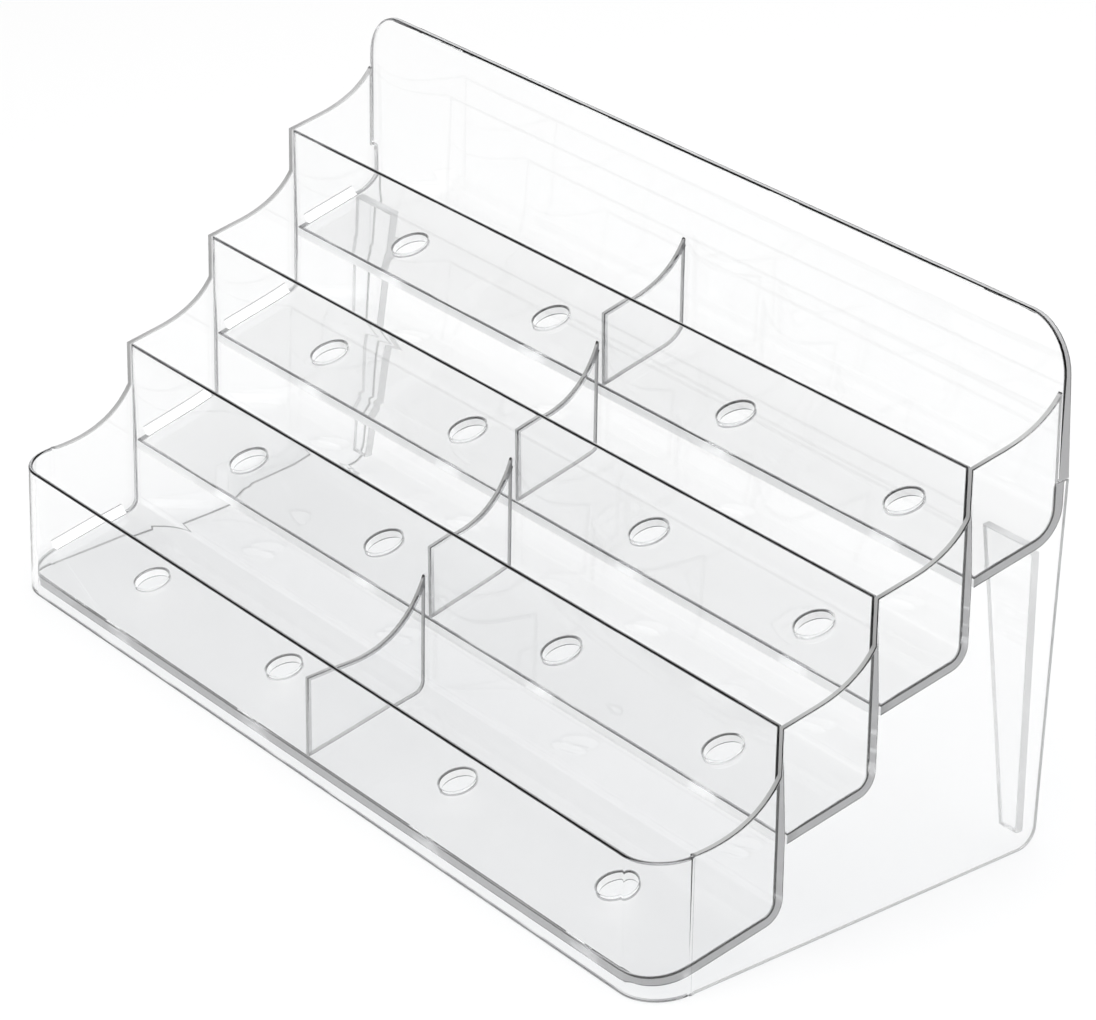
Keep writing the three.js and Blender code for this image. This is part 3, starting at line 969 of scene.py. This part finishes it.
@dataclass
class FrontWall:
    """The low front wall, which wraps round both front corners to meet the side panels."""

    profile: Profile
    corner_steps: int = 14
    rim: float = 0.35 * MM

    def path(self, thickness: float) -> np.ndarray:
        """Return the wall's plan line, set in from its outer face.

        Straight returns, then a quarter circle at each corner about a shared centre, so the radius
        is the corner's less the distance set in.
        """
        p = self.profile
        angle = np.linspace(0, math.pi / 2, self.corner_steps + 1)
        radius = p.front_corner - thickness
        x = -(p.half_width - p.front_corner) - radius * np.cos(angle)
        y = p.front + p.front_corner - radius * np.sin(angle)
        left = np.column_stack([x, y])
        end = [-(p.half_width - thickness), p.front + p.front_corner + p.front_return]
        left = np.concatenate([[end], left])
        right = left[::-1] * np.array([-1.0, 1.0])
        return np.concatenate([left, right])

    def build(self) -> bpy.types.Object:
        """Sweep the plan line up the lean, thinning above the floor, and make the piece."""
        p = self.profile
        top = p.tiers[0].lip_top[1]
        heights = np.array([0.0, p.floor_height, 0.5 * (p.floor_height + top), top])
        share = np.clip((heights - p.floor_height) / (top - p.floor_height), 0, 1)
        thickness = p.side_sheet + (p.lip_edge - p.side_sheet) * share
        grids = []
        for insets in (np.zeros_like(thickness), thickness):
            plan = np.stack([self.path(float(inset)) for inset in insets])
            grid = np.empty((*plan.shape[:2], 3))
            grid[..., 0] = plan[..., 0]
            grid[..., 1] = plan[..., 1] + heights[:, None] * math.tan(p.lean)
            grid[..., 2] = heights[:, None]
            grids.append(grid)
        rims = np.full(grids[0].shape[:2], self.rim)
        rims[:, [0, -1]] = SHARP
        return closed_sheet(grids[0], grids[1], rims).piece("front_lip_clear", self.touch_up)

    def touch_up(self, centres: np.ndarray, edge: np.ndarray, cement: np.ndarray) -> None:
        """Hide the wall's two upright ends, which are cemented to the side panels."""
        p = self.profile
        end = p.front + p.front_corner + p.front_return - 2 * SHARP
        cement[(centres[:, 1] - centres[:, 2] * math.tan(p.lean) > end) & (edge > BROAD)] = 1.0


@dataclass
class SidePanel:
    """A flat end panel with a stepped and scalloped top, a flat foot and a rounded heel."""

    profile: Profile
    side: Side
    scallop_steps: int = 14
    heel_radius: float = 4 * MM
    foot_reach: float = 1 * MM
    rim: float = 0.22 * MM

    def outline(self) -> np.ndarray:
        """Work out the panel's outline, from the foot of its front edge up and over to its heel."""
        p = self.profile
        foot = np.array([p.front + p.front_corner + p.front_return + 2 * SHARP, 0.0])
        front_top = crossing(foot, p.up_wall, p.tiers[0].lip_top, p.level)
        points = [foot[None], front_top[None]]
        for tier in range(p.rear):
            above = p.tiers[tier + 1].lip_top
            start = front_top if tier == 0 else p.tiers[tier].lip_top
            end = above - p.up_wall * p.side_drop
            points.append(p.scallop(start, end, p.side_leads[tier], tier, self.scallop_steps))
            points.append(above[None])
        face = p.back_top - p.level * p.joint
        end = face - p.up_wall * p.back_drop
        lip = p.tiers[p.rear].lip_top
        points.append(p.scallop(lip, end, p.side_leads[p.rear], p.rear, self.scallop_steps))
        seat_level = np.array([0.0, p.seat[1] - 2 * SHARP])
        points.append(crossing(face, p.up_wall, seat_level, p.level)[None])
        seat_rear = np.array([p.seat[0] + p.back_sheet, p.seat[1] - 2 * SHARP])
        points.append(seat_rear[None])
        down = -unit(math.pi / 2 - p.rear_lean)
        heel = crossing(seat_rear, down, np.zeros(2), p.level)
        points.append(round_corner(heel, down, -p.level, self.heel_radius, self.scallop_steps))
        points.append((foot + p.level * self.foot_reach)[None])
        return np.concatenate(points)

    def build(self) -> bpy.types.Object:
        """Make the panel on its side of the holder."""
        p = self.profile
        outer = self.side.value * p.half_width
        inner = self.side.value * (p.half_width - p.side_sheet)
        outline = self.outline()
        rims = np.full(len(outline), self.rim)
        rims[:2] = SHARP
        rims[outline[:, 1] == outline[np.argmax(outline[:, 0]), 1]] = SHARP
        skin = plate(outline, inner, outer, rims)
        return skin.piece(f"side_panel_{self.side.name.lower()}_clear", self.touch_up)

    def touch_up(self, centres: np.ndarray, edge: np.ndarray, cement: np.ndarray) -> None:
        """Hide the cemented front edge and seat, and saw all the rim but the outer face's rounds, which
        carry painted shade.
        """
        p = self.profile
        depth = centres[:, 1] - centres[:, 2] * math.tan(p.lean)
        front = depth < p.front + p.front_corner + p.front_return + 4 * SHARP
        seat = (centres[:, 2] > p.seat[1] - 4 * SHARP) & (centres[:, 1] > p.seat[0] - p.joint)
        cement[(front | (seat & (centres[:, 2] < p.seat[1]))) & (edge > BROAD)] = 1.0
        edge[(np.abs(centres[:, 0]) < p.half_width - self.rim) & (edge > BROAD)] = SAWN


@dataclass
class Divider:
    """A thin upright plate across the middle of a tray, with a scooped top."""

    profile: Profile
    tier: int
    thickness: float = 1.4 * MM
    lip_drop: float = 5.8 * MM
    top_drop: float = 2.3 * MM
    back_top_drop: float = 4.2 * MM
    steps: int = 14
    rim: float = 0.45 * MM

    def outline(self) -> np.ndarray:
        """Work out the divider's outline: along the floor, up the wall behind and down the scoop."""
        p = self.profile
        tier = p.tiers[self.tier]
        is_rear = self.tier == p.rear
        top = p.back_top if is_rear else p.tiers[self.tier + 1].lip_top
        bend = p.back_bend if is_rear else p.tray_bend
        drop = p.back_drop + self.back_top_drop if is_rear else p.side_drop + self.top_drop
        lip = p.lips[self.tier]
        share = (lip - self.lip_drop) / lip
        base = p.lip_sheet(self.tier)
        thick = base + (p.lip_edge - base) * share
        low = tier.lip_foot + p.level * (base + p.joint)
        high = tier.lip_foot + p.up_wall * (lip - self.lip_drop) + p.level * (thick + p.joint)
        floor = tier.lip_foot + unit(math.pi / 2) * p.joint / math.cos(p.rise)
        front_foot = crossing(floor, p.along_floor, low, high - low)
        rear_corner = crossing(floor, p.along_floor, tier.floor_rear - p.level * p.joint, p.up_wall)
        heel = round_corner(rear_corner, p.along_floor, p.up_wall, bend, self.steps)
        end = top - p.level * p.joint - p.up_wall * drop
        scoop = p.scallop(high, end, p.divider_leads[self.tier], self.tier, self.steps)[::-1]
        return np.concatenate([front_foot[None], heel, scoop, high[None]])

    def build(self) -> bpy.types.Object:
        """Make the divider in the middle of its tray."""
        skin = plate(self.outline(), -self.thickness / 2, self.thickness / 2, self.rim)
        return skin.piece(f"divider_{self.tier + 1}_clear", self.touch_up)

    def touch_up(self, centres: np.ndarray, edge: np.ndarray, cement: np.ndarray) -> None:
        """Saw all the rim but the rounds of its right-hand face, which draw its line in painted shade."""
        edge[(centres[:, 0] < self.thickness / 2 - self.rim) & (edge > BROAD)] = SAWN


@dataclass
class Gusset:
    """A tapered plate under the rear tray, beside a side panel and parallel to the walls."""

    profile: Profile
    side: Side
    top_width: float = 12.2 * MM
    foot_width: float = 4.35 * MM
    thickness: float = 1.6 * MM
    rim: float = 0.2 * MM

    def build(self) -> bpy.types.Object:
        """Fit the plate inside its frame node's box and make the piece.

        Its rows run up the lean; each row reaches in from the side panel by a width that grows
        evenly from the foot to the top.
        """
        p = self.profile
        low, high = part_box(f"rear_gusset_{self.side.name.lower()}")
        heights = np.linspace(low[2], high[2], 5)
        share = (heights - heights[0]) / (heights[-1] - heights[0])
        width = self.foot_width + (self.top_width - self.foot_width) * share
        front = low[1] + (heights - heights[0]) * math.tan(p.lean)
        grids = []
        for set_back in (0.0, self.thickness):
            grid = np.empty((len(heights), 2, 3))
            grid[:, 0, 0] = self.side.value * p.inner_half
            grid[:, 1, 0] = self.side.value * (p.inner_half - width)
            grid[..., 1] = (front + set_back)[:, None]
            grid[..., 2] = heights[:, None]
            grids.append(grid)
        rims = np.full(grids[0].shape[:2], self.rim)
        name = f"rear_gusset_{self.side.name.lower()}_clear"
        return closed_sheet(grids[0], grids[1], rims).piece(name, self.touch_up)

    def touch_up(self, centres: np.ndarray, edge: np.ndarray, cement: np.ndarray) -> None:
        """Saw the whole rim, so the plate shows only as a faint outline."""
        edge[edge > BROAD] = SAWN


# --------------------------------------------------------------------------------------------------
# Studio
# --------------------------------------------------------------------------------------------------


@dataclass(frozen=True)
class Softbox:
    """A soft rectangular light aimed at a point."""

    name: str
    place: tuple[float, float, float]
    aim: tuple[float, float, float]
    size: tuple[float, float]
    power: float

    def build(self) -> bpy.types.Object:
        """Make the light."""
        data = bpy.data.lights.new(self.name, "AREA")
        data.shape = "RECTANGLE"
        data.size, data.size_y = self.size
        data.energy = self.power
        light = bpy.data.objects.new(self.name, data)
        light.location = self.place
        away = Vector(self.aim) - Vector(self.place)
        light.rotation_euler = away.to_track_quat("-Z", "Y").to_euler()
        bpy.context.scene.collection.objects.link(light)
        return light


@dataclass(frozen=True)
class Studio:
    """A pale floor, a dim room, a softbox overhead and the camera."""

    azimuth: float = math.radians(55.94)
    elevation: float = math.radians(26.27)
    roll: float = math.radians(-3.617)
    distance: float = 0.85
    aim: tuple[float, float, float] = (-0.0109, 0.0170, 0.0273)
    lens: float = 155.87
    sensor: float = 36.0
    floor_gap: float = 0.2 * MM
    floor_half: float = 6.0
    floor_colour: tuple[float, float, float] = (0.9, 0.9, 0.9)
    room_colour: tuple[float, float, float] = (0.25, 0.25, 0.25)
    softbox: Softbox = Softbox("overhead", (0.1, 0.0, 1.5), (0.0, 0.0, 0.0), (2.2, 2.2), 34.6)
    clear_bounces: int = 32
    glossy_bounces: int = 8
    transparent_bounces: int = 96

    def camera(self) -> bpy.types.Object:
        """Make the camera, which looks down on the holder's front right corner."""
        data = bpy.data.cameras.new("camera")
        data.sensor_width = self.sensor
        data.lens = self.lens
        data.clip_start, data.clip_end = 0.05, 50.0
        camera = bpy.data.objects.new("camera", data)
        level = math.cos(self.elevation)
        back = Vector(
            (math.sin(self.azimuth) * level, -math.cos(self.azimuth) * level, math.sin(self.elevation))
        )
        turn = (-back).to_track_quat("-Z", "Y").to_matrix() @ Matrix.Rotation(self.roll, 3, "Z")
        camera.matrix_world = Matrix.Translation(Vector(self.aim) + back * self.distance) @ turn.to_4x4()
        bpy.context.scene.collection.objects.link(camera)
        bpy.context.scene.camera = camera
        return camera

    def floor(self) -> bpy.types.Object:
        """Make the pale floor, a hair below the holder's foot."""
        half = self.floor_half
        corners = np.array([[-half, -half], [half, -half], [half, half], [-half, half]])
        points = np.column_stack([corners, np.full(4, -self.floor_gap)])
        mesh = bpy.data.meshes.new("studio_floor")
        mesh.from_pydata(points.tolist(), [], [(0, 1, 2, 3)])
        shader = Shader("studio_floor")
        surface = shader.node(
            "ShaderNodeBsdfPrincipled", Base_Color=(*self.floor_colour, 1.0), Roughness=0.9
        )
        surface.inputs["Specular IOR Level"].default_value = 0.0
        output = shader.node("ShaderNodeOutputMaterial")
        shader.feed(output.inputs["Surface"], surface.outputs[0])
        mesh.materials.append(shader.material)
        floor = bpy.data.objects.new("studio_floor", mesh)
        bpy.context.scene.collection.objects.link(floor)
        floor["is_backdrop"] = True
        return floor

    def build(self) -> None:
        """Make the camera, floor, softbox and room, and leave whites white."""
        self.camera()
        self.floor()
        self.softbox.build()
        world = bpy.data.worlds.new("room")
        world.use_nodes = True
        world.node_tree.nodes["Background"].inputs["Color"].default_value = (*self.room_colour, 1.0)
        scene = bpy.context.scene
        scene.world = world
        scene.view_settings.view_transform = "Standard"
        scene.cycles.max_bounces = self.clear_bounces
        scene.cycles.transmission_bounces = self.clear_bounces
        scene.cycles.glossy_bounces = self.glossy_bounces
        scene.cycles.transparent_max_bounces = self.transparent_bounces


def main() -> None:
    """Build the studio and every piece in order, and report each one."""
    logging.basicConfig(level=logging.INFO, format="%(name)s: %(message)s")
    low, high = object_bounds()
    profile = Profile(half_width=(high[0] - low[0]) / 2, front=low[1])
    Studio().build()
    materials = {slot: finish.material() for slot, finish in FINISHES.items()}
    work: list[tuple[Callable[[], bpy.types.Object], str, str]] = [
        (FrontWall(profile).build, "front_lip", "clear_front")
    ]
    for tier in range(profile.rear + 1):
        work.append((Tray(profile, tier).build, f"tray_{tier + 1}", "clear_tray"))
        work.append((Divider(profile, tier).build, f"divider_{tier + 1}", "clear_divider"))
    for side in Side:
        label = side.name.lower()
        work.append((SidePanel(profile, side).build, f"side_panel_{label}", "clear_side"))
        work.append((Gusset(profile, side).build, f"rear_gusset_{label}", "clear_gusset"))
    for build, node, slot in work:
        piece = build()
        dress(piece, node, slot, materials)
        log.info("%s: %d faces for %s", piece.name, len(piece.data.polygons), node)
    low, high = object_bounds()


if __name__ == "__main__":
    main()
